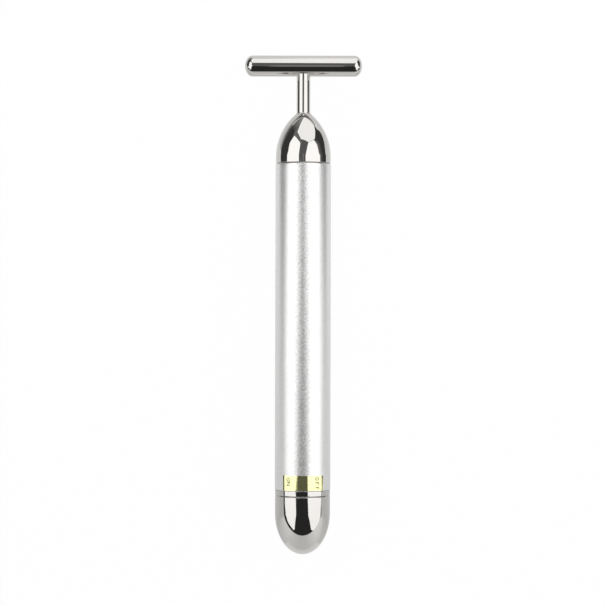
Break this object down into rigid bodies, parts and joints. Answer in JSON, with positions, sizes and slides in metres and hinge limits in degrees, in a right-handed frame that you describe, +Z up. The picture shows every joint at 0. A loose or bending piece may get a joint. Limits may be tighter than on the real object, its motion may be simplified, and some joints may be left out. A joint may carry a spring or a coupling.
{
  "type": "vibrating facial massage bar",
  "caption": "Slim round handle with a tapered nose, a short stem and a plain crossbar for a T-shaped head, and a rounded end cap that twists to switch it on.",
  "frame": {"origin": "centre of the footprint, on the surface that the barrel lies on", "axes": "+Y along the handle from the end cap to the crossbar, +X along the crossbar, +Z up out of the side with the switch label"},
  "size_m": [0.038, 0.1616, 0.0181],
  "materials": {
    "chrome_plate": "polished",
    "satin_aluminium": "satin",
    "gold_foil": "satin",
    "stainless": "satin",
    "motor_steel": "satin",
    "core_steel": "matte",
    "ferrite": "matte",
    "bronze": "satin",
    "copper": "satin",
    "brass_weight": "satin",
    "contact_nickel": "satin",
    "black_plastic": "matte",
    "white_plastic": "matte",
    "red_insulation": "gloss",
    "black_insulation": "gloss",
    "seal_rubber": "matte",
    "cell_steel": "gloss",
    "cell_mix": "matte",
    "cell_jacket": "gloss"
  },
  "bodies": {
    "handle": {"barrel": "satin_aluminium", "nose_cone": "chrome_plate", "t_bar": "chrome_plate", "stem": "chrome_plate", "stem_washer": "stainless", "stem_nut": "stainless", "motor_cradle": "black_plastic", "motor_can": "motor_steel", "motor_magnets": "ferrite", "motor_bushes": "bronze", "motor_end_bell": "white_plastic", "motor_terminals": "contact_nickel", "motor_brushes": "copper", "switch_label": "gold_foil", "battery_sleeve": "white_plastic", "contact_bulkhead": "white_plastic", "positive_contact": "contact_nickel", "return_strip": "contact_nickel", "red_lead": "red_insulation", "black_lead": "black_insulation"},
    "rotor": {"motor_shaft": "stainless", "armature_core": "core_steel", "armature_windings": "copper", "commutator": "copper", "eccentric_weight": "brass_weight"},
    "battery": {"cell_can": "cell_steel", "cell_core": "cell_mix", "cell_seal": "black_plastic", "cell_negative_cap": "cell_steel", "cell_jacket": "cell_jacket"},
    "plug": {"switch_plug": "white_plastic", "collar_ring": "chrome_plate", "plug_seal": "seal_rubber", "battery_spring": "contact_nickel", "spring_plate": "contact_nickel", "switch_rivets": "brass_weight", "return_leaf": "contact_nickel"},
    "cap": {"end_cap": "chrome_plate", "wiper_disc": "black_plastic", "wiper_bridge": "contact_nickel", "pivot_screw": "stainless", "pivot_washer": "stainless"}
  },
  "joints": [
    {"name": "rotor_spin", "type": "hinge", "parent": "handle", "child": "rotor", "pos_m": [0, 0.045, 0.009], "axis": [0, 1, 0], "continuous": true},
    {"name": "plug_pull", "type": "slide", "parent": "handle", "child": "plug", "axis": [0, -1, 0], "range_m": [0, 0.11], "deforming": ["battery_spring"]},
    {"name": "battery_slide", "type": "slide", "parent": "handle", "child": "battery", "axis": [0, -1, 0], "range_m": [0, 0.066]},
    {"name": "switch_twist", "type": "hinge", "parent": "plug", "child": "cap", "pos_m": [0, -0.07, 0.009], "axis": [0, -1, 0], "range_deg": [0, 60]}
  ],
  "couplings": [
    {"joint": "battery_slide", "follows": "plug_pull", "ratio": 0.6}
  ]
}
